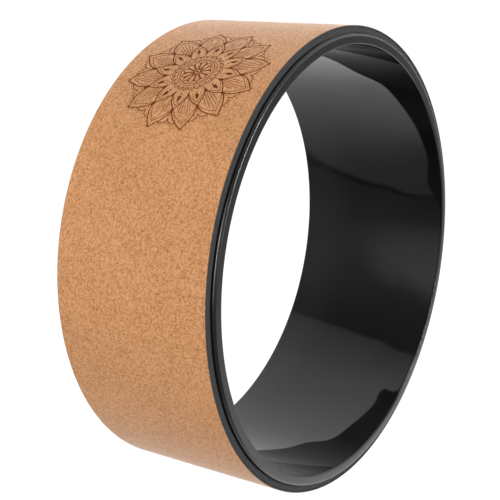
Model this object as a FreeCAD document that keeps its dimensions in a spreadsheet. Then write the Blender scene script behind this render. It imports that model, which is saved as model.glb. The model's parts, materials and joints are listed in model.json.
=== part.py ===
# Yoga wheel: a plastic hoop with a foam strip and a cork sheet wrapped round it.
# The wheel stands upright. Its axle line is Y, Z is up and the origin is its centre.
import FreeCAD, Part
import os
import Sketcher

# Driving sizes, in millimetres. Each layer sits on the one before it, from the hoop outwards.
SIZES = {
    "hoop_outer_diameter": 319.0,
    "hoop_wall": 7.5,
    "hoop_width": 126.0,
    "hoop_outer_lip_radius": 1.8,
    "hoop_inner_lip_bevel": 1.0,
    "padding_width": 120.0,
    "padding_seam_gap": 0.3,
    "pad_adhesive_thickness": 0.2,
    "foam_thickness": 4.1,
    "cork_adhesive_thickness": 0.2,
    "cork_thickness": 1.0,
    "cork_edge_bevel": 0.3,
    "adhesive_setback": 1.0,
}

# Radii where one layer ends and the next begins, as expressions of the sheet's cells.
HOOP_OUTSIDE = "Sizes.hoop_outer_diameter / 2"
HOOP_INSIDE = HOOP_OUTSIDE + " - Sizes.hoop_wall"
FOAM_INSIDE = HOOP_OUTSIDE + " + Sizes.pad_adhesive_thickness"
FOAM_OUTSIDE = FOAM_INSIDE + " + Sizes.foam_thickness"
CORK_INSIDE = FOAM_OUTSIDE + " + Sizes.cork_adhesive_thickness"
CORK_OUTSIDE = CORK_INSIDE + " + Sizes.cork_thickness"

# The glue stops short of the padding's edges, on both sides.
ADHESIVE_WIDTH = "Sizes.padding_width - 2 * Sizes.adhesive_setback"

# The hoop goes all the way round. The padding is a wrapped strip, whose two cut ends meet at +X across a gap.
FULL_TURN = "360"
STRIP_TURN = f"360 - Sizes.padding_seam_gap / ({CORK_OUTSIDE}) * 180 / pi"

# How a sketch numbers a line's two ends and its own X axis, whose start is the origin.
START = 1
END = 2
X_AXIS = -1


def make_sheet(doc):
    """The spreadsheet that holds the driving sizes, one named cell each."""
    sheet = doc.addObject("Spreadsheet::Sheet", "Sizes")
    for row, (name, value) in enumerate(SIZES.items(), start=1):
        sheet.set(f"A{row}", name)
        sheet.set(f"B{row}", str(value))
        sheet.setAlias(f"B{row}", name)
    doc.recompute()
    return sheet


def origin_plane(body, role):
    """One of the body's own base planes."""
    return next(item for item in body.Origin.OriginFeatures if item.Role == role)


def section_sketch(body, inside, thickness, width):
    """A layer's cross-section: a rectangle beside the axle, centred on the wheel's middle plane."""
    sketch = body.newObject("Sketcher::SketchObject", body.Name + "_section")
    sketch.AttachmentSupport = [(origin_plane(body, "XY_Plane"), "")]
    sketch.MapMode = "FlatFace"

    near = sketch.evalExpression(inside)
    depth = sketch.evalExpression(thickness)
    span = sketch.evalExpression(width)
    far = near + depth
    side = span / 2
    corners = [
        FreeCAD.Vector(near, -side, 0),
        FreeCAD.Vector(far, -side, 0),
        FreeCAD.Vector(far, side, 0),
        FreeCAD.Vector(near, side, 0),
    ]
    lower, outer, upper, inner = sketch.addGeometry(
        [Part.LineSegment(start, end) for start, end in zip(corners, corners[1:] + corners[:1])]
    )
    for first, second in ((lower, outer), (outer, upper), (upper, inner), (inner, lower)):
        sketch.addConstraint(Sketcher.Constraint("Coincident", first, END, second, START))
    sketch.addConstraint(Sketcher.Constraint("Horizontal", lower))
    sketch.addConstraint(Sketcher.Constraint("Horizontal", upper))
    sketch.addConstraint(Sketcher.Constraint("Vertical", inner))
    sketch.addConstraint(Sketcher.Constraint("Symmetric", outer, START, outer, END, X_AXIS))

    driven = (
        ("inside", Sketcher.Constraint("DistanceX", X_AXIS, START, lower, START, near), inside),
        ("thickness", Sketcher.Constraint("DistanceX", lower, START, lower, END, depth), thickness),
        ("width", Sketcher.Constraint("DistanceY", outer, START, outer, END, span), width),
    )
    for name, constraint, expression in driven:
        sketch.renameConstraint(sketch.addConstraint(constraint), name)
        sketch.setExpression("Constraints." + name, expression)
    body.Document.recompute()
    return sketch


def ring(doc, label, inside, thickness, width, turn):
    """A layer of the wheel: its section swept round the axle by the given turn."""
    body = doc.addObject("PartDesign::Body", label)
    body.Label = label
    sketch = section_sketch(body, inside, thickness, width)
    sweep = body.newObject("PartDesign::Revolution", label + "_sweep")
    sweep.Profile = sketch
    sweep.ReferenceAxis = (sketch, ["V_Axis"])
    sweep.setExpression("Angle", turn)
    doc.recompute()
    return body


def dress_rims(doc, body, rim_radius, kind, size_property, size):
    """Round or bevel the two edges that run round a layer at one radius, one on each side."""
    base = body.Tip
    radius = base.evalExpression(rim_radius)
    tolerance = base.Shape.getTolerance(1)
    rims = [
        f"Edge{number}"
        for number, edge in enumerate(base.Shape.Edges, start=1)
        if isinstance(edge.Curve, Part.Circle) and abs(edge.Curve.Radius - radius) < tolerance
    ]
    dressing = body.newObject("PartDesign::" + kind, f"{body.Name}_{kind.lower()}")
    dressing.Base = (base, rims)
    dressing.setExpression(size_property, size)
    doc.recompute()


def make_hoop(doc):
    """The load-bearing hoop. Its outer lips are round, and its inner ones are eased for the hands."""
    hoop = ring(doc, "inner_hoop", HOOP_INSIDE, "Sizes.hoop_wall", "Sizes.hoop_width", FULL_TURN)
    dress_rims(doc, hoop, HOOP_OUTSIDE, "Fillet", "Radius", "Sizes.hoop_outer_lip_radius")
    dress_rims(doc, hoop, HOOP_INSIDE, "Chamfer", "Size", "Sizes.hoop_inner_lip_bevel")
    return hoop


def make_pad_adhesive(doc):
    """The film that holds the foam on the hoop."""
    return ring(
        doc, "pad_adhesive", HOOP_OUTSIDE, "Sizes.pad_adhesive_thickness", ADHESIVE_WIDTH, STRIP_TURN
    )


def make_foam(doc):
    """The foam strip, as wide as the padding."""
    return ring(doc, "foam_pad", FOAM_INSIDE, "Sizes.foam_thickness", "Sizes.padding_width", STRIP_TURN)


def make_cork_adhesive(doc):
    """The film that holds the cork on the foam."""
    return ring(
        doc, "cork_adhesive", FOAM_OUTSIDE, "Sizes.cork_adhesive_thickness", ADHESIVE_WIDTH, STRIP_TURN
    )


def make_cork(doc):
    """The cork sheet, with its outer edges broken by a small bevel."""
    cork = ring(doc, "cork_cover", CORK_INSIDE, "Sizes.cork_thickness", "Sizes.padding_width", STRIP_TURN)
    dress_rims(doc, cork, CORK_OUTSIDE, "Chamfer", "Size", "Sizes.cork_edge_bevel")
    return cork


def check(doc, parts):
    """Stop if anything in the document failed, or if a sub-part isn't one sound solid."""
    for item in doc.Objects:
        if "Invalid" in item.State or "Error" in item.State:
            raise RuntimeError(f"{item.Label} failed: {item.State}")
    for part in parts:
        if part.Shape.isNull() or not part.Shape.isValid() or len(part.Shape.Solids) != 1:
            raise RuntimeError(f"{part.Label} isn't one sound solid")


def main():
    doc = FreeCAD.newDocument("YogaWheel")
    make_sheet(doc)
    parts = [
        make_hoop(doc),
        make_pad_adhesive(doc),
        make_foam(doc),
        make_cork_adhesive(doc),
        make_cork(doc),
    ]
    doc.recompute()
    check(doc, parts)
    os.makedirs("parts", exist_ok=True)
    for part in parts:
        part.Shape.exportStep(f"parts/{part.Label}.step")
        print(f"{part.Label}: {part.Shape.Volume:.0f} mm3, {len(part.Shape.Faces)} faces")


main()
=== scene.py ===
# %% [markdown]
# # A cork yoga wheel
# The wheel is a hoop of glossy black plastic. A strip of foam is glued round it, and a thin sheet of cork
# is glued round the foam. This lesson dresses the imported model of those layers: each layer that shows is
# built again as a fine mesh at the model's own sizes, and every surface gets a finish made from nodes.

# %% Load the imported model
import json
import math

import bmesh
import bpy
from mathutils import Matrix, Vector


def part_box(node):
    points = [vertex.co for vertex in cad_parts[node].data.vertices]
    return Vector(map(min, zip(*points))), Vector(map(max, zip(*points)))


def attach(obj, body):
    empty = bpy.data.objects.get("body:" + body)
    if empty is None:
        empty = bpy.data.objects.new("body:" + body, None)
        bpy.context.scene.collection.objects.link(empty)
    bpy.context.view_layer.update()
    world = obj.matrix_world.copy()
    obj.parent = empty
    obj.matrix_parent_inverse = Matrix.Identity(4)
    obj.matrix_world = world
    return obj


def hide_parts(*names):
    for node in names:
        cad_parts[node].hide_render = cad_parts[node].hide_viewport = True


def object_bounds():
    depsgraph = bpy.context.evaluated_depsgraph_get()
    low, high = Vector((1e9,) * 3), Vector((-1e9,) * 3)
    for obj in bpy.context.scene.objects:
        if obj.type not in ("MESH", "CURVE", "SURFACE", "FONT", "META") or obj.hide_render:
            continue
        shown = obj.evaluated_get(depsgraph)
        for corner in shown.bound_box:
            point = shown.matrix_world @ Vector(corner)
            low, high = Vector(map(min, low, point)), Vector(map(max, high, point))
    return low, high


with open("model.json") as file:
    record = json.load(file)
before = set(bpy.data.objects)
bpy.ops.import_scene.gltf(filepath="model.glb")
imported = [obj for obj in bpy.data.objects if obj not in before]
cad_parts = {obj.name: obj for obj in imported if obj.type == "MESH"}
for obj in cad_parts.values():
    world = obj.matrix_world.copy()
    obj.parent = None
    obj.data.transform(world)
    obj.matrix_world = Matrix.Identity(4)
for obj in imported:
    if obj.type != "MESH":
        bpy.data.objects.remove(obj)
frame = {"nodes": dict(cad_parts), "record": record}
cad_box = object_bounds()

MM = 0.001
print("nodes:", sorted(frame["nodes"]))

# %% [markdown]
# ## Reading the sizes
# A wheel is told by a few radii and two widths, so these are read from the model and not typed again. Every
# layer starts where the one below it ends. The strips begin at +X, so the highest X of a layer is its true
# outer radius, and the opening's radius is kept with the model's mounts.

# %% Read the radii and widths of the layers
mounts = {mount["name"]: mount for mount in frame["record"]["mounts"]}
HOOP_INSIDE = mounts["centre_opening"]["dims"]["r_mm"] * MM
HOOP_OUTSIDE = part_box("inner_hoop")[1].x
FOAM_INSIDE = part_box("pad_adhesive")[1].x
FOAM_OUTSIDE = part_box("foam_pad")[1].x
CORK_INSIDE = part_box("cork_adhesive")[1].x
CORK_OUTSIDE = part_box("cork_cover")[1].x
HOOP_HALF_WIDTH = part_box("inner_hoop")[1].y
PAD_HALF_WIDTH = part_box("cork_cover")[1].y
print(f"hoop {HOOP_INSIDE / MM:.1f} to {HOOP_OUTSIDE / MM:.1f} mm, cork outside {CORK_OUTSIDE / MM:.1f} mm")

# %% [markdown]
# ## The camera
# The picture is square and taken from the wheel's left and a little above, with a long lens from less than
# a metre away. A camera is easiest to place by two angles and a distance: the azimuth turns it round the
# wheel, the elevation lifts it, and the aim is the point in the middle of the picture.

# %% Place the camera
AZIMUTH = math.radians(-55.56)
ELEVATION = math.radians(14.10)
DISTANCE = 865.0 * MM
AIM = Vector((-9.67, 14.26, 0.37)) * MM
LENS_MM = 84.65
SENSOR_MM = 36.0

camera_data = bpy.data.cameras.new("studio_camera")
camera_data.lens = LENS_MM
camera_data.sensor_width = SENSOR_MM
camera = bpy.data.objects.new("studio_camera", camera_data)
bpy.context.scene.collection.objects.link(camera)
bpy.context.scene.camera = camera

towards_camera = Vector(
    (
        math.sin(AZIMUTH) * math.cos(ELEVATION),
        -math.cos(AZIMUTH) * math.cos(ELEVATION),
        math.sin(ELEVATION),
    )
)
camera.location = AIM + DISTANCE * towards_camera
camera.rotation_euler = towards_camera.to_track_quat("Z", "Y").to_euler()
print("camera at", [round(value, 3) for value in camera.location])

# %% [markdown]
# ## Colours and nodes
# Colours are given as sRGB hex values, but shaders add light in linear values, so
# one function converts them. A second function adds a node, sets its options and fills its sockets with a
# value or with a link from another node. That is all that the finishes below need.

# %% Define the colour and node helpers
def linear(hex_colour):
    """An sRGB hex colour as linear red, green, blue and alpha."""
    channels = [int(hex_colour[place:place + 2], 16) / 255 for place in (1, 3, 5)]
    return [
        value / 12.92 if value <= 0.04045 else ((value + 0.055) / 1.055) ** 2.4
        for value in channels
    ] + [1.0]


def add_node(tree, kind, options=None, sockets=None, stops=()):
    """Add a node to a tree. Sockets are named or numbered, and take a value or another node's output.
    The stops of a colour ramp are pairs of a place from 0 to 1 and a colour, in rising order."""
    node = tree.nodes.new("ShaderNode" + kind)
    for name, value in (options or {}).items():
        setattr(node, name, value)
    for name, value in (sockets or {}).items():
        if isinstance(value, bpy.types.NodeSocket):
            tree.links.new(value, node.inputs[name])
        else:
            node.inputs[name].default_value = value
    for place, colour in stops[1:-1]:
        node.color_ramp.elements.new(place)
    for number, (place, colour) in enumerate(stops):
        node.color_ramp.elements[number].position = place
        node.color_ramp.elements[number].color = colour
    return node


def new_material(name):
    """An empty node material, with its tree and its output node."""
    material = bpy.data.materials.new(name)
    material.use_nodes = True
    material.node_tree.nodes.clear()
    return material, material.node_tree, add_node(material.node_tree, "OutputMaterial")


def per_metre(size_mm):
    """The texture scale that makes one cell or wave as large as a real size."""
    return 1 / (size_mm * MM)

# %% [markdown]
# ## The floor
# The wheel stands on a seamless pale studio table, the kind with a lamp under milky acrylic, which keeps
# shadows faint. A huge disc does that job: it fills the picture up to the horizon, and its glow stands for
# the lamp.

# %% Lay the floor
FLOOR_RADIUS = 40.0
FLOOR_SIDES = 96
FLOOR_GLOW = 0.95
FLOOR_MOTTLE_MM = 400.0

milky_acrylic, tree, output = new_material("milky_acrylic_table")
place = add_node(tree, "TexCoord")
mottle = add_node(
    tree,
    "TexNoise",
    sockets={"Vector": place.outputs["Object"], "Scale": per_metre(FLOOR_MOTTLE_MM), "Detail": 2.0},
)
milk = add_node(
    tree,
    "ValToRGB",
    sockets={"Fac": mottle.outputs["Fac"]},
    stops=((0.0, linear("#6A6A6A")), (1.0, linear("#6E6E6E"))),
)
acrylic_shader = add_node(
    tree,
    "BsdfPrincipled",
    sockets={
        "Base Color": milk.outputs["Color"],
        "Roughness": 0.9,
        "Specular IOR Level": 0.0,
        "Emission Color": linear("#FFFFFF"),
        "Emission Strength": FLOOR_GLOW,
    },
)
tree.links.new(acrylic_shader.outputs[0], output.inputs["Surface"])

floor_mesh = bpy.data.meshes.new("studio_floor")
disc = bmesh.new()
bmesh.ops.create_circle(
    disc,
    cap_ends=True,
    radius=FLOOR_RADIUS,
    segments=FLOOR_SIDES,
    matrix=Matrix.Translation((0, 0, cad_box[0][2])),
)
disc.to_mesh(floor_mesh)
disc.free()
floor_mesh.materials.append(milky_acrylic)
floor = bpy.data.objects.new("studio_floor", floor_mesh)
bpy.context.scene.collection.objects.link(floor)
print("floor at", round(cad_box[0][2] / MM, 2), "mm")

# %% [markdown]
# ## The surroundings
# A glossy black hoop is mostly a picture of what surrounds it, so the studio is painted on the world by
# direction. Every direction has a turn, counted from straight behind the wheel to its right, and a lift
# over the horizon. Ramps then give the brightness along either angle, and masks choose between the ramps.

# %% Turn directions into degrees
TURN_RANGE = (-180.0, 180.0)
LIFT_RANGE = (-90.0, 90.0)

bpy.context.scene.view_settings.view_transform = "Standard"
world = bpy.data.worlds.new("studio_surround")
bpy.context.scene.world = world
world.use_nodes = True
tree = world.node_tree
tree.nodes.clear()

way = add_node(tree, "TexCoord")
parts = add_node(tree, "SeparateXYZ", sockets={0: way.outputs["Generated"]})
turn_angle = add_node(
    tree, "Math", {"operation": "ARCTAN2"}, {0: parts.outputs["X"], 1: parts.outputs["Y"]}
)
lift_angle = add_node(tree, "Math", {"operation": "ARCSINE"}, {0: parts.outputs["Z"]})
turn = add_node(tree, "Math", {"operation": "DEGREES"}, {0: turn_angle.outputs[0]}).outputs[0]
lift = add_node(tree, "Math", {"operation": "DEGREES"}, {0: lift_angle.outputs[0]}).outputs[0]
turn_place = add_node(
    tree, "MapRange", sockets={"Value": turn, "From Min": TURN_RANGE[0], "From Max": TURN_RANGE[1]}
).outputs[0]
lift_place = add_node(
    tree, "MapRange", sockets={"Value": lift, "From Min": LIFT_RANGE[0], "From Max": LIFT_RANGE[1]}
).outputs[0]
print("world:", world.name)

# %% [markdown]
# The white table and the white backdrop behind it are one sweep of paper. The light falls off towards the
# left, so both have a ramp along the turn, with stops that pair an angle with a brightness. The horizon
# blends the lower one into the upper one, and straight under the wheel the table is bright all round. A
# mask is given by two angles: where it starts and where it is full.

# %% Paint the table and the backdrop
TABLE_GLOW = (
    (-180, 0.44), (-150, 0.19), (-75, 0.16), (-64, 0.3), (-55, 0.32), (-50, 0.4), (-43, 0.56), (-35, 0.68),
    (-15, 0.79), (8, 1.02), (20, 1.14), (34, 1.39), (60, 1.34), (112, 1.24), (150, 0.84), (180, 0.44),
)
BACKDROP_GLOW = (
    (-180, 0.44), (-60, 0.3), (-46, 0.4), (-42, 0.5), (-37, 0.57), (-31, 0.63), (-24, 0.71), (-16, 0.79),
    (-6, 0.87), (4, 0.91), (30, 0.99), (45, 1.02), (60, 0.94), (120, 0.94), (180, 0.44),
)
UNDER_WHEEL = (-50.0, -72.0)
UNDER_WHEEL_GLOW = (1.1, 1.1, 1.1, 1.0)
HORIZON = (-12.0, 12.0)
EASED = {"interpolation_type": "SMOOTHSTEP"}
COLOURS = {"data_type": "RGBA"}


def ramp_stops(glow, span):
    """The stops of a ramp over a span of angles, from pairs of degrees and brightness."""
    first, last = span
    return [((degrees - first) / (last - first), (value, value, value, 1.0)) for degrees, value in glow]


table = add_node(tree, "ValToRGB", sockets={"Fac": turn_place}, stops=ramp_stops(TABLE_GLOW, TURN_RANGE))
backdrop = add_node(
    tree, "ValToRGB", sockets={"Fac": turn_place}, stops=ramp_stops(BACKDROP_GLOW, TURN_RANGE)
)
under_wheel = add_node(
    tree, "MapRange", EASED, {"Value": lift, "From Min": UNDER_WHEEL[0], "From Max": UNDER_WHEEL[1]}
)
whole_table = add_node(
    tree, "Mix", COLOURS, {0: under_wheel.outputs[0], 6: table.outputs[0], 7: UNDER_WHEEL_GLOW}
)
over_horizon = add_node(
    tree, "MapRange", EASED, {"Value": lift, "From Min": HORIZON[0], "From Max": HORIZON[1]}
)
sweep = add_node(
    tree, "Mix", COLOURS, {0: over_horizon.outputs[0], 6: whole_table.outputs[2], 7: backdrop.outputs[0]}
)
print("table stops:", len(TABLE_GLOW), "backdrop stops:", len(BACKDROP_GLOW))

# %% [markdown]
# Left of the sweep lies the dim room. It is brightest at eye level, and more so further to the left, where
# a lit wall stands. The table ends there in a straight edge with a thin dark gap above it. Seen from the
# wheel, that edge slants, so its lift is worked out from the turn.

# %% Paint the room and its lit wall
ROOM_GLOW = (
    (-90, 0.14), (-36, 0.13), (-30, 0.15), (-24, 0.17), (-17, 0.2), (-5, 0.26), (8, 0.3), (20, 0.28),
    (28, 0.22), (35, 0.16), (43, 0.12), (52, 0.1), (62, 0.74), (90, 1.04),
)
LIT_WALL_GLOW = (
    (-90, 0.14), (-30, 0.06), (-24, 0.12), (-12, 0.22), (-4, 0.5), (4, 0.66), (15, 0.77), (21, 0.67),
    (27, 0.41), (33, 0.24), (43, 0.12), (52, 0.1), (62, 0.74), (90, 1.04),
)
LIT_WALL_EDGE = (-60.5, -64.5)
TABLE_EDGE_TURN = (-60.5, -46.0)
TABLE_EDGE_LIFT = (-25.8, -41.65)
EDGE_GAP = (0.8, 2.4)
EDGE_GAP_GLOW = 0.4

table_edge = add_node(
    tree,
    "MapRange",
    sockets={
        "Value": turn,
        "From Min": TABLE_EDGE_TURN[0],
        "From Max": TABLE_EDGE_TURN[1],
        "To Min": TABLE_EDGE_LIFT[0],
        "To Max": TABLE_EDGE_LIFT[1],
    },
)
over_edge = add_node(
    tree, "Math", {"operation": "SUBTRACT"}, {0: lift, 1: table_edge.outputs[0]}
).outputs[0]
edge_gap = add_node(
    tree,
    "MapRange",
    EASED,
    {"Value": over_edge, "From Min": EDGE_GAP[0], "From Max": EDGE_GAP[1], "To Min": EDGE_GAP_GLOW},
)
room = add_node(tree, "ValToRGB", sockets={"Fac": lift_place}, stops=ramp_stops(ROOM_GLOW, LIFT_RANGE))
room_and_gap = add_node(
    tree, "Mix", {**COLOURS, "blend_type": "MULTIPLY"}, {0: 1.0, 6: room.outputs[0], 7: edge_gap.outputs[0]}
)
lit_wall = add_node(
    tree, "ValToRGB", sockets={"Fac": lift_place}, stops=ramp_stops(LIT_WALL_GLOW, LIFT_RANGE)
)
on_wall = add_node(
    tree, "MapRange", EASED, {"Value": turn, "From Min": LIT_WALL_EDGE[0], "From Max": LIT_WALL_EDGE[1]}
)
dim_side = add_node(
    tree, "Mix", COLOURS, {0: on_wall.outputs[0], 6: room_and_gap.outputs[2], 7: lit_wall.outputs[0]}
)
print("room stops:", len(ROOM_GLOW), "lit wall stops:", len(LIT_WALL_GLOW))

# %% [markdown]
# The room shows past two ends of the sweep, on the left and in front, and on both only above the table's
# edge. The larger of the two side masks, times the mask of the edge, says where.

# %% Fit the room round the sweep
SWEEP_LEFT_EDGE = (-45.6, -47.4)
FRONT_ROOM_EDGE = (138.0, 150.0)
TABLE_EDGE_SOFTNESS = 0.7

left_of_sweep = add_node(
    tree, "MapRange", EASED, {"Value": turn, "From Min": SWEEP_LEFT_EDGE[0], "From Max": SWEEP_LEFT_EDGE[1]}
)
front_room = add_node(
    tree, "MapRange", EASED, {"Value": turn, "From Min": FRONT_ROOM_EDGE[0], "From Max": FRONT_ROOM_EDGE[1]}
)
off_sweep = add_node(
    tree, "Math", {"operation": "MAXIMUM"}, {0: left_of_sweep.outputs[0], 1: front_room.outputs[0]}
)
past_edge = add_node(
    tree,
    "MapRange",
    EASED,
    {"Value": over_edge, "From Min": -TABLE_EDGE_SOFTNESS, "From Max": TABLE_EDGE_SOFTNESS},
)
in_room = add_node(
    tree, "Math", {"operation": "MULTIPLY"}, {0: off_sweep.outputs[0], 1: past_edge.outputs[0]}
)
sweep_and_room = add_node(
    tree, "Mix", COLOURS, {0: in_room.outputs[0], 6: sweep.outputs[2], 7: dim_side.outputs[2]}
)
print("room left of", SWEEP_LEFT_EDGE[0], "degrees")

# %% [markdown]
# The wheel's near face looks to the front right. The table is bright there, the room beyond it is dim, and
# the light comes back above the horizon.

# %% Paint the front right
FRONT_GLOW = (
    (-90, 1.2), (-60, 1.9), (-44, 1.8), (-34, 1.5), (-25, 1.15), (-20, 0.8), (-14, 0.5), (-8, 0.36),
    (-1, 0.3), (4, 1.2), (15, 1.6), (25, 1.1), (45, 0.9), (90, 1.0),
)
FRONT_START = (104.0, 113.0)
FRONT_STOP = (146.0, 134.0)

front = add_node(tree, "ValToRGB", sockets={"Fac": lift_place}, stops=ramp_stops(FRONT_GLOW, LIFT_RANGE))
front_start = add_node(
    tree, "MapRange", EASED, {"Value": turn, "From Min": FRONT_START[0], "From Max": FRONT_START[1]}
)
front_stop = add_node(
    tree, "MapRange", EASED, {"Value": turn, "From Min": FRONT_STOP[0], "From Max": FRONT_STOP[1]}
)
in_front = add_node(
    tree, "Math", {"operation": "MULTIPLY"}, {0: front_start.outputs[0], 1: front_stop.outputs[0]}
)
studio = add_node(
    tree, "Mix", COLOURS, {0: in_front.outputs[0], 6: sweep_and_room.outputs[2], 7: front.outputs[0]}
)
print("front stops:", len(FRONT_GLOW))

# %% [markdown]
# The picture's own background stays plain white: the Light Path node tells the rays that come straight from
# the picture apart from those that light the wheel or are mirrored in it. The painted table should light
# the wheel and show in its gloss, so the floor disc is hidden from those rays and only the picture sees it.

# %% Show plain white behind the wheel
surround = add_node(tree, "Background", sockets={"Color": studio.outputs[2]})
plain_white = add_node(tree, "Background", sockets={"Color": linear("#FFFFFF")})
rays = add_node(tree, "LightPath")
shown = add_node(
    tree,
    "MixShader",
    sockets={0: rays.outputs["Is Camera Ray"], 1: surround.outputs[0], 2: plain_white.outputs[0]},
)
add_node(tree, "OutputWorld", sockets={"Surface": shown.outputs[0]})
floor.visible_glossy = False
floor.visible_diffuse = False
print("background: plain white")

# %% [markdown]
# ## The lamps
# Three softboxes light the wheel. The left one lights the cork and the front one the near face. Both are
# tall and narrow: black gloss mirrors its lamps, and a strip shows in it as a thin bright line along the
# lip and not as a white patch. A softbox is brightest in its middle, where the flash sits behind the cloth,
# so the line fades out at its ends. The overhead one is broad and would only cover the ceiling's
# reflection, so it is kept out of the gloss. Places and sizes are in metres.

# %% Hang the softboxes
MIDDLE_GAIN = 3.0


def softbox(name, location, width, height, watts):
    """A softbox that faces the wheel. The gain keeps its watts the same while its rim gets darker."""
    data = bpy.data.lights.new(name, "AREA")
    data.shape = "ELLIPSE"
    data.size = width
    data.size_y = height
    data.energy = watts
    data.use_nodes = True
    tree = data.node_tree
    cloth = add_node(tree, "NewGeometry")
    from_middle = add_node(
        tree,
        "Mapping",
        sockets={"Vector": cloth.outputs["Parametric"], "Location": (-1, -1, 0), "Scale": (2, 2, 0)},
    )
    glow = add_node(
        tree, "TexGradient", {"gradient_type": "SPHERICAL"}, {"Vector": from_middle.outputs["Vector"]}
    )
    strength = add_node(tree, "Math", {"operation": "MULTIPLY"}, {0: glow.outputs["Fac"], 1: MIDDLE_GAIN})
    tree.links.new(strength.outputs[0], tree.nodes["Emission"].inputs["Strength"])
    light = bpy.data.objects.new(name, data)
    light.location = location
    light.rotation_euler = Vector(location).to_track_quat("Z", "Y").to_euler()
    light.visible_camera = False
    bpy.context.scene.collection.objects.link(light)
    return light


softbox("left_strip_softbox", (-1.76, 0.25, 0.38), width=0.25, height=1.6, watts=22.3)
softbox("front_strip_softbox", (0.46, -1.71, 0.45), width=0.05, height=1.65, watts=21)
top_softbox = softbox("overhead_softbox", (-0.3, 0.2, 2.2), width=2.0, height=2.0, watts=1.5)
top_softbox.visible_glossy = False

# %% [markdown]
# ## Black ABS
# The hoop is moulded in black ABS, against a polished steel mould. That gives a deep black with a clear
# gloss: an IOR of about 1.53 and a low roughness. Handling dulls the gloss in patches as wide as a
# fingertip. A noise texture mostly stays between 0.3 and 0.7, so that range is stretched from the clean
# gloss to the handled one. The outer lips, which every hand and every mat rubs, are worn most. They are
# found by their distance from the axle line. A trace of fine dust makes a haze at a flat angle, which a
# little sheen gives.

# %% Mix the black ABS
HANDLING_PATCH_MM = 18.0
NOISE_LOW = 0.3
NOISE_HIGH = 0.7
CLEAN_ROUGHNESS = 0.03
HANDLED_ROUGHNESS = 0.05
WORN_ROUGHNESS = 0.25
WEAR_START = HOOP_OUTSIDE - 2.0 * MM
WEAR_FULL = HOOP_OUTSIDE - 1.2 * MM

black_abs, tree, output = new_material("moulded_black_abs")
place = add_node(tree, "TexCoord")
patches = add_node(
    tree,
    "TexNoise",
    sockets={"Vector": place.outputs["Object"], "Scale": per_metre(HANDLING_PATCH_MM), "Detail": 3.0},
)
gloss = add_node(
    tree,
    "MapRange",
    sockets={
        "Value": patches.outputs["Fac"],
        "From Min": NOISE_LOW,
        "From Max": NOISE_HIGH,
        "To Min": CLEAN_ROUGHNESS,
        "To Max": HANDLED_ROUGHNESS,
    },
)
off_axle = add_node(
    tree, "VectorMath", {"operation": "MULTIPLY"}, {0: place.outputs["Object"], 1: (1, 0, 1)}
)
from_axle = add_node(tree, "VectorMath", {"operation": "LENGTH"}, {0: off_axle.outputs["Vector"]})
wear = add_node(
    tree,
    "MapRange",
    EASED,
    {"Value": from_axle.outputs["Value"], "From Min": WEAR_START, "From Max": WEAR_FULL},
)
worn_gloss = add_node(
    tree, "Mix", sockets={"Factor": wear.outputs[0], 2: gloss.outputs["Result"], 3: WORN_ROUGHNESS}
)
tone = add_node(
    tree,
    "ValToRGB",
    sockets={"Fac": patches.outputs["Fac"]},
    stops=((0.0, linear("#191919")), (1.0, linear("#1E1E1E"))),
)
abs_shader = add_node(
    tree,
    "BsdfPrincipled",
    sockets={
        "Base Color": tone.outputs["Color"],
        "Roughness": worn_gloss.outputs[0],
        "IOR": 1.53,
        "Sheen Weight": 0.1,
        "Sheen Roughness": 0.35,
    },
)
tree.links.new(abs_shader.outputs[0], output.inputs["Surface"])
print("made", black_abs.name)

# %% [markdown]
# ## EVA foam
# The padding is closed-cell EVA foam, cut from a sheet with a blade. The cut edge shows open halves of tiny
# cells, which makes it dull and slightly speckled. Real cells are about 0.3 mm wide, too fine for this
# picture, so they are drawn about 0.9 mm wide.

# %% Mix the EVA foam
FOAM_CELL_MM = 0.9
FOAM_CLOUD_MM = 6.0
FOAM_PIT_MM = 0.15

eva_foam, tree, output = new_material("cut_eva_foam")
place = add_node(tree, "TexCoord")
cells = add_node(
    tree, "TexVoronoi", sockets={"Vector": place.outputs["Object"], "Scale": per_metre(FOAM_CELL_MM)}
)
cloud = add_node(
    tree,
    "TexNoise",
    sockets={"Vector": place.outputs["Object"], "Scale": per_metre(FOAM_CLOUD_MM), "Detail": 4.0},
)
blend = add_node(
    tree, "Mix", sockets={"Factor": 0.5, 2: cells.outputs["Distance"], 3: cloud.outputs["Fac"]}
)
shade = add_node(
    tree,
    "ValToRGB",
    sockets={"Fac": blend.outputs[0]},
    stops=((0.25, linear("#2E2F30")), (0.75, linear("#434446"))),
)
pits = add_node(
    tree,
    "Bump",
    sockets={"Height": cells.outputs["Distance"], "Distance": FOAM_PIT_MM * MM, "Strength": 0.6},
)
foam_shader = add_node(
    tree,
    "BsdfPrincipled",
    sockets={
        "Base Color": shade.outputs["Color"],
        "Normal": pits.outputs["Normal"],
        "Roughness": 0.85,
        "IOR": 1.45,
    },
)
tree.links.new(foam_shader.outputs[0], output.inputs["Surface"])
print("made", eva_foam.name)

# %% [markdown]
# ## Pressed cork
# The cover is agglomerated cork: bark ground to granules, pressed with a binder into a block and sliced
# into a sheet. Voronoi cells make good granules, because each has one random colour, which a ramp turns
# into a tan. The pattern is solid, so it runs through the cut edges too.

# %% Press the granules
CORK_GRANULE_MM = 1.05

pressed_cork, tree, output = new_material("pressed_cork")
place = add_node(tree, "TexCoord")
granules = add_node(
    tree, "TexVoronoi", sockets={"Vector": place.outputs["Object"], "Scale": per_metre(CORK_GRANULE_MM)}
)
granule_tone = add_node(tree, "SeparateColor", sockets={"Color": granules.outputs["Color"]})
tan = add_node(
    tree,
    "ValToRGB",
    sockets={"Fac": granule_tone.outputs[0]},
    stops=((0.0, linear("#A8703B")), (0.5, linear("#BF8657")), (1.0, linear("#CC976A"))),
)
print("granules of", CORK_GRANULE_MM, "mm")

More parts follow.
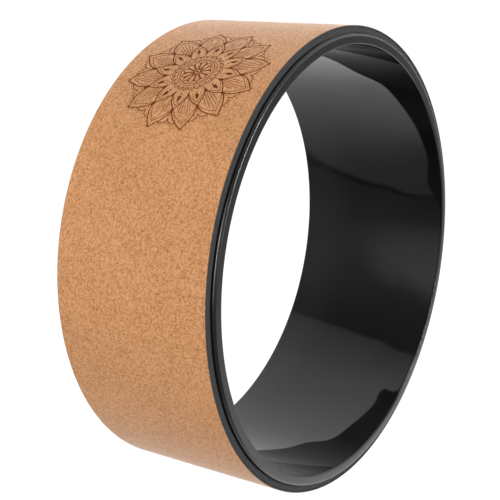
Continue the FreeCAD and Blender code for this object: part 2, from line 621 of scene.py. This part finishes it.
# %% [markdown]
# A few granules come from dark bark. They are cells of a second, coarser Voronoi pattern: only the cells
# with the highest random values turn dark, and only round their middles, so the specks stay small and soft.

# %% Strew in the dark specks
CORK_SPECK_MM = 2.4
DARK_CELLS = (0.80, 0.97)
SPECK_CORE = (0.15, 0.42)
SPECK_COVER = 0.75

specks = add_node(
    tree, "TexVoronoi", sockets={"Vector": place.outputs["Object"], "Scale": per_metre(CORK_SPECK_MM)}
)
speck_pick = add_node(tree, "SeparateColor", sockets={"Color": specks.outputs["Color"]})
dark_pick = add_node(
    tree,
    "MapRange",
    sockets={"Value": speck_pick.outputs[1], "From Min": DARK_CELLS[0], "From Max": DARK_CELLS[1]},
)
near_core = add_node(
    tree,
    "MapRange",
    sockets={
        "Value": specks.outputs["Distance"],
        "From Min": SPECK_CORE[0],
        "From Max": SPECK_CORE[1],
        "To Min": SPECK_COVER,
        "To Max": 0.0,
    },
)
dark_mask = add_node(
    tree, "Math", {"operation": "MULTIPLY"}, {0: dark_pick.outputs["Result"], 1: near_core.outputs["Result"]}
)
specked = add_node(
    tree, "Mix", COLOURS, {0: dark_mask.outputs[0], 6: tan.outputs["Color"], 7: linear("#74431E")}
)
print("specks of", CORK_SPECK_MM, "mm")

# %% [markdown]
# No two parts of a block are pressed alike, so the tone drifts slowly over the sheet. The sliced face is
# dull and a little gritty, with a soft bloom at a flat angle, which the sheen gives.

# %% Finish the cork
CORK_TONE_MM = 45.0
CORK_GRIT_MM = 0.12
TONE_DRIFT = (0.94, 1.05)

drift = add_node(
    tree,
    "TexNoise",
    sockets={"Vector": place.outputs["Object"], "Scale": per_metre(CORK_TONE_MM), "Detail": 3.0},
)
drift_tone = add_node(
    tree,
    "MapRange",
    sockets={
        "Value": drift.outputs["Fac"],
        "From Min": NOISE_LOW,
        "From Max": NOISE_HIGH,
        "To Min": TONE_DRIFT[0],
        "To Max": TONE_DRIFT[1],
    },
)
cork_colour = add_node(
    tree,
    "Mix",
    {**COLOURS, "blend_type": "MULTIPLY"},
    {0: 1.0, 6: specked.outputs[2], 7: drift_tone.outputs["Result"]},
)
grit = add_node(
    tree,
    "Bump",
    sockets={"Height": granules.outputs["Distance"], "Distance": CORK_GRIT_MM * MM, "Strength": 0.5},
)
cork_shader = add_node(
    tree,
    "BsdfPrincipled",
    sockets={
        "Base Color": cork_colour.outputs[2],
        "Normal": grit.outputs["Normal"],
        "Roughness": 0.78,
        "IOR": 1.4,
        "Sheen Weight": 0.36,
        "Sheen Roughness": 0.45,
        "Sheen Tint": linear("#FFF2E6"),
    },
)
tree.links.new(cork_shader.outputs[0], output.inputs["Surface"])
print("made", pressed_cork.name)

# %% [markdown]
# ## Contact adhesive
# Two brushed films of contact adhesive hold the layers together. Dried contact adhesive is amber and
# streaky from the brush. The films stop short of the padding's edges and only show in the seam, so the
# model's own solids serve as they are and just get this finish.

# %% Mix the adhesive and put it on the two films
BRUSH_STREAK_MM = 4.0

dried_adhesive, tree, output = new_material("dried_contact_adhesive")
place = add_node(tree, "TexCoord")
streaks = add_node(
    tree,
    "TexNoise",
    sockets={"Vector": place.outputs["Object"], "Scale": per_metre(BRUSH_STREAK_MM), "Detail": 5.0},
)
amber = add_node(
    tree,
    "ValToRGB",
    sockets={"Fac": streaks.outputs["Fac"]},
    stops=((0.3, linear("#6E4A1E")), (0.7, linear("#A87A3A"))),
)
adhesive_shader = add_node(
    tree,
    "BsdfPrincipled",
    sockets={"Base Color": amber.outputs["Color"], "Roughness": 0.45, "IOR": 1.5},
)
tree.links.new(adhesive_shader.outputs[0], output.inputs["Surface"])
for film in ("pad_adhesive", "cork_adhesive"):
    frame["nodes"][film].data.materials.clear()
    frame["nodes"][film].data.materials.append(dried_adhesive)
print("made", dried_adhesive.name)

# %% [markdown]
# ## Drawing a section
# Every layer is a turned form, like work on a lathe: one closed section swept round the axle line. A
# section is drawn as arcs, and the straight runs are what lies between them. Smooth shading spreads the
# bend of a round over the whole face next to it, so each long run gets a guard point close to both of its
# ends.

# %% Define the section helpers
GUARD = 0.2 * MM
SHORTEST_RUN = 4 * GUARD
RUN_PIECE = 6.0 * MM


def arc(middle, radius, first, last, steps=8):
    """Points along an arc from one angle in degrees to another."""
    angles = [math.radians(first + (last - first) * step / steps) for step in range(steps + 1)]
    return [(middle[0] + radius * math.cos(angle), middle[1] + radius * math.sin(angle)) for angle in angles]


def guarded(section):
    """Divide the long runs of a closed section, with a guard point next to each of their ends."""
    points = []
    for start, end in zip(section, section[1:] + section[:1]):
        points.append(start)
        length = math.dist(start, end)
        if length < SHORTEST_RUN:
            continue
        pieces = max(1, round(length / RUN_PIECE))
        shares = [GUARD / length] + [piece / pieces for piece in range(1, pieces)] + [1 - GUARD / length]
        points += [tuple(a + share * (b - a) for a, b in zip(start, end)) for share in shares]
    return points


def whole_section(half):
    """A closed section, as (radius, across) points, from its half on one side of the middle plane."""
    return guarded(half + [(radius, -across) for radius, across in reversed(half)])

# %% [markdown]
# ## Turning the section
# The hoop goes all the way round. The strips stop a hair short, which leaves the butt seam. The screw
# modifier could do it, but a few lines of mesh code also cap the strip's two ends and let a surface stray a
# little from its true form. The caps are shaded flat, which keeps the bend at the strip's ends out of the
# shading.

# %% Define the lathe
def lathe(name, section, turn, steps, material, stray=None):
    """Sweep a closed section round the axle line. A sweep of less than a full turn gets two end caps.
    The stray function moves a point of the section, given its angle, radius and place across."""
    full = math.isclose(turn, math.tau)
    stations = steps if full else steps + 1
    count = len(section)
    points = []
    for station in range(stations):
        angle = turn * station / steps
        for point in section:
            radius, across = stray(angle, *point) if stray else point
            points.append((radius * math.cos(angle), across, radius * math.sin(angle)))
    faces = []
    for station in range(steps):
        here = station * count
        there = ((station + 1) % stations) * count
        for corner in range(count):
            after = (corner + 1) % count
            faces.append((here + corner, here + after, there + after, there + corner))
    caps = [] if full else [tuple(reversed(range(count))), tuple(range(steps * count, (steps + 1) * count))]
    mesh = bpy.data.meshes.new(name)
    mesh.from_pydata(points, [], faces + caps)
    solid = bmesh.new()
    solid.from_mesh(mesh)
    bmesh.ops.recalc_face_normals(solid, faces=solid.faces)
    for face in solid.faces:
        face.smooth = len(face.verts) == 4
    solid.to_mesh(mesh)
    solid.free()
    mesh.materials.append(material)
    layer = bpy.data.objects.new(name, mesh)
    bpy.context.scene.collection.objects.link(layer)
    print(f"{name}: {len(mesh.polygons)} faces")
    return layer

# %% [markdown]
# ## The hoop's section
# The hoop carries the load. Its inner lips are eased for the hands, and its outer lips are well rounded
# where they stand proud of the padding. Between the two, the end of the wall is very slightly crowned: an
# arc of a large radius that runs into the outer lip without a kink.

# %% Draw the hoop's section
OUTER_LIP = 1.8 * MM
INNER_LIP = 1.0 * MM
CROWN_TILT = 3.0
LIP_STEPS = 18

crown_start = HOOP_INSIDE + INNER_LIP
lip_middle = HOOP_OUTSIDE - OUTER_LIP
tilt_across = math.sin(math.radians(CROWN_TILT))
tilt_along = math.cos(math.radians(CROWN_TILT))
crown_radius = (lip_middle - crown_start) / tilt_across + OUTER_LIP
crown_middle = HOOP_HALF_WIDTH - crown_radius
lip_across = crown_middle + (crown_radius - OUTER_LIP) * tilt_along

hoop_half = (
    arc((crown_start, HOOP_HALF_WIDTH - INNER_LIP), INNER_LIP, 180, 90)
    + arc((crown_start, crown_middle), crown_radius, 90, 90 - CROWN_TILT)[1:]
    + arc((lip_middle, lip_across), OUTER_LIP, 90 - CROWN_TILT, 0, LIP_STEPS)[1:]
)
print(f"crown radius {crown_radius / MM:.1f} mm")

# %% [markdown]
# ## The moulded wall
# A moulded wall is never quite true. It opens a little towards the near lip, the side on which it left the
# mould, it shrinks unevenly as it cools, and shallow sink marks stay where it cooled last. All are
# fractions of a millimetre, but gloss shows them, so they are built into the mesh. Each sink mark has an
# angle round the wheel, a distance from the near lip, a depth and a reach.

# %% Turn the hoop
HOOP_STEPS = 720
FLARE = 0.20 * MM
FLARE_REACH = 25.0 * MM
FLARE_CURVE = 1.3
SHRINK_WAVE = 0.12 * MM
SHRINK_LENGTH = 70.0 * MM
SHRINK_REACH = 80.0 * MM
SHRINK_WAVES = 5
SHRINK_START = math.radians(12.0)
SINK_MARKS = (
    (math.radians(52.0), 39.0 * MM, 0.33 * MM, 13.0 * MM),
    (math.radians(12.0), 0.0, 0.25 * MM, 10.0 * MM),
    (math.radians(-49.0), 19.0 * MM, 0.4 * MM, 10.0 * MM),
    (math.radians(-55.8), 9.0 * MM, 0.17 * MM, 6.0 * MM),
    (math.radians(-81.5), 38.0 * MM, 0.28 * MM, 10.0 * MM),
)


def moulded(angle, radius, across):
    """Move a point of the hoop's true section to where the moulded wall has it."""
    inner_share = min(1.0, max(0.0, (lip_middle - radius) / (lip_middle - crown_start)))
    from_lip = HOOP_HALF_WIDTH + across
    opening = max(0.0, 1 - from_lip / FLARE_REACH) ** FLARE_CURVE
    wave = math.cos(SHRINK_WAVES * (angle - SHRINK_START)) * math.cos(math.tau * from_lip / SHRINK_LENGTH)
    shrink = SHRINK_WAVE * wave * max(0.0, 1 - from_lip / SHRINK_REACH)
    sink = 0.0
    for mark_angle, mark_from_lip, depth, reach in SINK_MARKS:
        aside = HOOP_INSIDE * math.remainder(angle - mark_angle, math.tau)
        sink += depth * math.exp(-0.5 * (aside ** 2 + (from_lip - mark_from_lip) ** 2) / reach ** 2)
    return radius + inner_share * (FLARE * opening + shrink + sink), across


hoop = lathe("glossy_hoop", whole_section(hoop_half), math.tau, HOOP_STEPS, black_abs, stray=moulded)
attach(hoop, "root")
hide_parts("inner_hoop")

# %% [markdown]
# ## The foam strip
# Foam is cut with a blade, so its corners are a little round and its edges aren't quite straight. A slow
# wave draws the edge in by up to a fifth of a millimetre, and a quicker one breaks its rhythm.

# %% Wrap the foam
SEAM_GAP = 0.3 * MM
STRIP_TURN = math.tau - SEAM_GAP / CORK_OUTSIDE
STRIP_STEPS = 480
FOAM_EDGE_ROUND = 0.6 * MM
BLADE_WANDER = 0.1 * MM
SLOW_WAVES = 7
SLOW_SHARE = 0.6
QUICK_WAVES = 23
QUICK_SHARE = 0.4


def cut_half(inside, outside, inner_round, outer_round):
    """Half of a strip's section, with its two corners rounded."""
    return (
        arc((inside + inner_round, PAD_HALF_WIDTH - inner_round), inner_round, 180, 90)
        + arc((outside - outer_round, PAD_HALF_WIDTH - outer_round), outer_round, 90, 0)
    )


def blade_cut(angle, radius, across):
    """Draw a cut edge in by a little that changes round the wheel."""
    slow = SLOW_SHARE * math.sin(SLOW_WAVES * angle + across)
    quick = QUICK_SHARE * math.sin(QUICK_WAVES * angle - across)
    wave = slow + quick
    return radius, across * (1 - BLADE_WANDER / PAD_HALF_WIDTH * (1 + wave))


foam_section = whole_section(cut_half(FOAM_INSIDE, FOAM_OUTSIDE, FOAM_EDGE_ROUND, FOAM_EDGE_ROUND))
foam = lathe("foam_strip", foam_section, STRIP_TURN, STRIP_STEPS, eva_foam, stray=blade_cut)
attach(foam, "root")
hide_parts("foam_pad")

# %% [markdown]
# ## The sealed edge
# A thin cork sheet crumbles at its cut edge, so the edge is painted with a dark rubbery sealer, as the
# edges of leather straps are. The brush leaves it slightly uneven.

# %% Mix the edge sealer
SEALER_BRUSH_MM = 3.0

edge_sealer, tree, output = new_material("rubber_edge_sealer")
place = add_node(tree, "TexCoord")
brush = add_node(
    tree,
    "TexNoise",
    sockets={"Vector": place.outputs["Object"], "Scale": per_metre(SEALER_BRUSH_MM), "Detail": 3.0},
)
rubber = add_node(
    tree,
    "ValToRGB",
    sockets={"Fac": brush.outputs["Fac"]},
    stops=((0.3, linear("#2C2C2C")), (0.7, linear("#3E3E3E"))),
)
sealer_shader = add_node(
    tree, "BsdfPrincipled", sockets={"Base Color": rubber.outputs["Color"], "Roughness": 0.7, "IOR": 1.5}
)
tree.links.new(sealer_shader.outputs[0], output.inputs["Surface"])
print("made", edge_sealer.name)

# %% [markdown]
# ## The cork sheet
# The cork goes round last. Its outer edges are broken so that they don't crumble. Its face lies lower than
# the model's by the height of the ink, because the print has to stay within the wheel's true size. Every
# face that looks sideways belongs to the cut edge and takes the sealer, and so does the inner side, whose
# last millimetre the adhesive leaves bare.

# %% Wrap the cork
PRINT_HEIGHT = 0.05 * MM
CORK_INNER_ROUND = 0.1 * MM
CORK_EDGE_ROUND = 0.3 * MM
CORK_FACE = CORK_OUTSIDE - PRINT_HEIGHT
SIDEWAYS = 0.05
INWARDS = -0.5

cork_section = whole_section(cut_half(CORK_INSIDE, CORK_FACE, CORK_INNER_ROUND, CORK_EDGE_ROUND))
cork = lathe("cork_sheet", cork_section, STRIP_TURN, STRIP_STEPS, pressed_cork)
cork.data.materials.append(edge_sealer)
for face in cork.data.polygons:
    outwards = (face.normal.x * face.center.x + face.normal.z * face.center.z) / CORK_INSIDE
    face.material_index = int(abs(face.normal.y) > SIDEWAYS or outwards < INWARDS)
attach(cork, "root")
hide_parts("cork_cover")

# %% [markdown]
# ## The printing ink
# A round ornament is printed on the cork, on top towards the viewer. The ink is a thin, reddish brown one.
# It sinks into the open face and dries without any gloss, so its specular level is low, and the granules
# break its tone up.

# %% Mix the printing ink
INK_BREAK_MM = 0.9

printing_ink, tree, output = new_material("brown_printing_ink")
place = add_node(tree, "TexCoord")
breaks = add_node(
    tree,
    "TexNoise",
    sockets={"Vector": place.outputs["Object"], "Scale": per_metre(INK_BREAK_MM), "Detail": 2.0},
)
brown = add_node(
    tree,
    "ValToRGB",
    sockets={"Fac": breaks.outputs["Fac"]},
    stops=((0.35, linear("#4A200C")), (0.8, linear("#82431C"))),
)
ink_shader = add_node(
    tree,
    "BsdfPrincipled",
    sockets={
        "Base Color": brown.outputs["Color"],
        "Roughness": 0.9,
        "IOR": 1.45,
        "Specular IOR Level": 0.2,
    },
)
tree.links.new(ink_shader.outputs[0], output.inputs["Surface"])
print("made", printing_ink.name)

# %% [markdown]
# ## The rosette's rings
# A rosette is drawn with compasses: rings of petals, each petal the same curve turned round the middle. So
# each ring is a formula for the distance from the middle at an angle, and one ring can ask another whether
# it covers a point. The drawing is planned flat, in metres from its own middle.

# %% Define the rings of petals
PETALS = 12
OGEE_ROUND_SHARE = 0.68
OGEE_POINT_SHARE = 0.32
OGEE_POINT_CURVE = 2.5


def arch(share):
    """A round-headed petal. The share runs from -1 to 1 across the petal, and the height from 0 to 1."""
    return math.sqrt(max(0.0, 1 - share * share))


def ogee(share):
    """A round petal that is drawn out into a short point."""
    return OGEE_ROUND_SHARE * arch(share) + OGEE_POINT_SHARE * (1 - abs(share)) ** OGEE_POINT_CURVE


def ring_edge(shape, count, valley, tip, half_step=False):
    """A ring of petals, as a function that gives the distance from the middle at an angle.
    The valleys between the petals and their tips are given in millimetres from the middle."""
    pitch = math.tau / count

    def edge(angle):
        turned = angle / pitch + (0.0 if half_step else 0.5)
        share = 2 * (turned - math.floor(turned)) - 1
        return (valley + (tip - valley) * shape(share)) * MM

    return edge


arches = ring_edge(arch, 2 * PETALS, valley=14.0, tip=18.0)
inner_petals = ring_edge(ogee, PETALS, valley=20.0, tip=34.0)
inner_lining = ring_edge(ogee, PETALS, valley=18.5, tip=31.0)
outer_petals = ring_edge(ogee, PETALS, valley=31.5, tip=50.5, half_step=True)
outer_lining = ring_edge(ogee, PETALS, valley=29.5, tip=46.0, half_step=True)
fringe = ring_edge(arch, 2 * PETALS, valley=41.0, tip=45.5, half_step=True)
print("rosette rings of", PETALS, "and", 2 * PETALS, "petals")

# %% [markdown]
# ## The rosette's strokes
# Petals of one ring pass behind those of the ring inside it, so a stroke is cut wherever it would run below
# the inner ring's outline. Three circles hold the middle together.

# %% Plan the strokes
FINE_LINE = 0.4 * MM
LINE = 0.58 * MM
BOLD_LINE = 0.8 * MM
CIRCLE_SIDES = 72
EDGE_SAMPLES = 1080
MIDDLE_CIRCLES = ((2.2 * MM, LINE), (12.0 * MM, LINE), (13.6 * MM, FINE_LINE))


def polar(distance, angle):
    """A point of the flat drawing."""
    return distance * math.cos(angle), distance * math.sin(angle)


def round_outline(middle, radius, sides):
    """The corners of a circle."""
    corners = [polar(radius, math.tau * side / sides) for side in range(sides)]
    return [(middle[0] + corner[0], middle[1] + corner[1]) for corner in corners]


def circle_stroke(radius, width):
    """A closed round stroke about the middle, whose last point is its first."""
    points = round_outline((0, 0), radius, CIRCLE_SIDES)
    return points + points[:1], width


def edge_strokes(edge, width, behind=None):
    """The strokes of a ring's outline, cut where another ring's petals cover it."""
    strokes = []
    run = []
    for sample in range(EDGE_SAMPLES + 1):
        angle = math.tau * sample / EDGE_SAMPLES
        if behind is None or edge(angle) > behind(angle):
            run.append(polar(edge(angle), angle))
            continue
        strokes.append((run, width))
        run = []
    strokes.append((run, width))
    return [(points, width) for points, width in strokes if len(points) > 2]


strokes = [circle_stroke(radius, width) for radius, width in MIDDLE_CIRCLES]
strokes += edge_strokes(arches, LINE)
strokes += edge_strokes(inner_petals, BOLD_LINE, behind=arches)
strokes += edge_strokes(inner_lining, FINE_LINE, behind=arches)
strokes += edge_strokes(outer_petals, BOLD_LINE, behind=inner_petals)
strokes += edge_strokes(outer_lining, FINE_LINE, behind=inner_petals)
strokes += edge_strokes(fringe, LINE, behind=outer_petals)
print(len(strokes), "outline strokes")

# %% [markdown]
# Each outer petal has five veins, like a leaf. They run outwards from the inner ring and get shorter to the
# sides.

# %% Draw the veins of the outer petals
VEINS = (-2, -1, 0, 1, 2)
VEIN_STEP = math.radians(3.1)
VEIN_START = 1.2 * MM
VEIN_STOP = 1.6 * MM
VEIN_SHORTENING = 1.2 * MM
SHORTEST_VEIN = 1.5 * MM

for petal in range(PETALS):
    for vein in VEINS:
        angle = math.tau * (petal + 0.5) / PETALS + vein * VEIN_STEP
        start = inner_petals(angle) + VEIN_START
        stop = outer_lining(angle) - VEIN_STOP - abs(vein) * VEIN_SHORTENING
        if stop - start > SHORTEST_VEIN:
            middle = 0.5 * (start + stop)
            strokes.append(([polar(start, angle), polar(middle, angle), polar(stop, angle)], FINE_LINE))
print(len(strokes), "strokes with the veins")

# %% [markdown]
# Beads and drops are solid spots. They stand in the petals and along the rings, and a row of fine dots
# follows the outline all round. The same drop, drawn only as an outline and turned to point inwards, makes
# the petals of a small daisy in the middle. A bead is given by its distance from the middle and its radius,
# and a drop by its distance, its length and its width, all in millimetres.

# %% Plan the beads, the drops and the daisy
BEAD_SIDES = 10
DROP_SIDES = 24
DROP_TAPER = 0.5
MIDDLE_BEAD = (0.0, 1.0)
ARCH_BEAD = (16.0, 0.55)
DAISY_PETAL = (6.7, -8.0, 3.1)
DAISY_BEAD = (9.2, 0.6)
FOOT_BEAD = (21.3, 0.6)
PETAL_DROP = (25.5, 5.5, 2.2)
TIP_BEADS = ((36.6, 0.75), (39.0, 0.5))
FRINGE_DOTS = 120
FRINGE_DOT_GAP = 1.4
FRINGE_DOT_RADIUS = 0.4


def bead(angle, distance, radius):
    """A round spot at an angle and a distance from the middle."""
    return round_outline(polar(distance * MM, angle), radius * MM, BEAD_SIDES)


def drop(angle, distance, length, width):
    """A drop that points away from the middle, or towards it if its length is negative."""
    outline = []
    for side in range(DROP_SIDES):
        bearing = math.tau * side / DROP_SIDES
        along = (distance + 0.5 * length * math.cos(bearing)) * MM
        across = 0.5 * width * math.sin(bearing) * (1 - DROP_TAPER * math.cos(bearing)) * MM
        ahead = polar(along, angle)
        aside = polar(across, angle + 0.5 * math.pi)
        outline.append((ahead[0] + aside[0], ahead[1] + aside[1]))
    return outline


spots = [bead(0.0, *MIDDLE_BEAD)]
spots += [bead(math.tau * number / (2 * PETALS), *ARCH_BEAD) for number in range(2 * PETALS)]
for petal in range(PETALS):
    angle = math.tau * petal / PETALS
    daisy_petal = drop(angle, *DAISY_PETAL)
    strokes.append((daisy_petal + daisy_petal[:1], LINE))
    spots.append(bead(angle + math.pi / PETALS, *DAISY_BEAD))
    spots.append(bead(angle, *FOOT_BEAD))
    spots.append(drop(angle, *PETAL_DROP))
    spots += [bead(angle, *tip_bead) for tip_bead in TIP_BEADS]
for number in range(FRINGE_DOTS):
    angle = math.tau * (number + 0.5) / FRINGE_DOTS
    rosette_edge = max(outer_petals(angle), fringe(angle)) / MM
    spots.append(bead(angle, rosette_edge + FRINGE_DOT_GAP, FRINGE_DOT_RADIUS))
print(len(spots), "spots")

# %% [markdown]
# ## Printing the rosette
# Ink has a thickness, however small, so each stroke is built as a closed ribbon with a top, a foot and two
# sides, and each spot as a closed tablet. Both are bent round the wheel by turning the drawing's first
# direction into an angle.

# %% Define how ink is laid on the cork
PRINT_ANGLE = math.radians(123.3)
PRINT_FOOT = 0.02 * MM

ink_points = []
ink_faces = []


def on_cork(point, height):
    """A point of the flat drawing, laid on the cork at a height over its face."""
    angle = PRINT_ANGLE + point[0] / CORK_FACE
    radius = CORK_FACE + height
    return radius * math.cos(angle), point[1], radius * math.sin(angle)


def lay_stroke(points, width):
    """Add one closed ribbon along a line of points."""
    first = len(ink_points)
    last = len(points) - 1
    loop = points[0] == points[-1]
    for number, point in enumerate(points):
        before = points[last - 1] if loop and number == 0 else points[max(number - 1, 0)]
        after = points[1] if loop and number == last else points[min(number + 1, last)]
        run = Vector((after[0] - before[0], after[1] - before[1])).normalized()
        side = Vector((-run.y, run.x)) * width / 2
        left = (point[0] + side.x, point[1] + side.y)
        right = (point[0] - side.x, point[1] - side.y)
        ink_points.extend((on_cork(left, PRINT_HEIGHT), on_cork(right, PRINT_HEIGHT)))
        ink_points.extend((on_cork(right, -PRINT_FOOT), on_cork(left, -PRINT_FOOT)))
    for number in range(last):
        here = first + 4 * number
        for corner in range(4):
            after = (corner + 1) % 4
            ink_faces.append((here + corner, here + after, here + 4 + after, here + 4 + corner))
    ink_faces.append((first + 3, first + 2, first + 1, first))
    ink_faces.append(tuple(first + 4 * last + corner for corner in range(4)))


def lay_spot(outline):
    """Add one closed tablet inside an outline."""
    first = len(ink_points)
    count = len(outline)
    for height in (PRINT_HEIGHT, -PRINT_FOOT):
        ink_points.extend(on_cork(point, height) for point in outline)
    for side in range(count):
        after = (side + 1) % count
        ink_faces.append((first + side, first + after, first + count + after, first + count + side))
    ink_faces.append(tuple(first + side for side in reversed(range(count))))
    ink_faces.append(tuple(first + count + side for side in range(count)))

# %% [markdown]
# All the ink is one piece, because it was printed in one pass and rides on the cork for good.

# %% Print the rosette
for points, width in strokes:
    lay_stroke(points, width)
for outline in spots:
    lay_spot(outline)

print_mesh = bpy.data.meshes.new("printed_rosette")
print_mesh.from_pydata(ink_points, [], ink_faces)
print_mesh.materials.append(printing_ink)
solid = bmesh.new()
solid.from_mesh(print_mesh)
bmesh.ops.recalc_face_normals(solid, faces=solid.faces)
solid.to_mesh(print_mesh)
solid.free()
rosette = bpy.data.objects.new("printed_rosette", print_mesh)
bpy.context.scene.collection.objects.link(rosette)
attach(rosette, "root")
print(f"printed_rosette: {len(print_mesh.polygons)} faces")
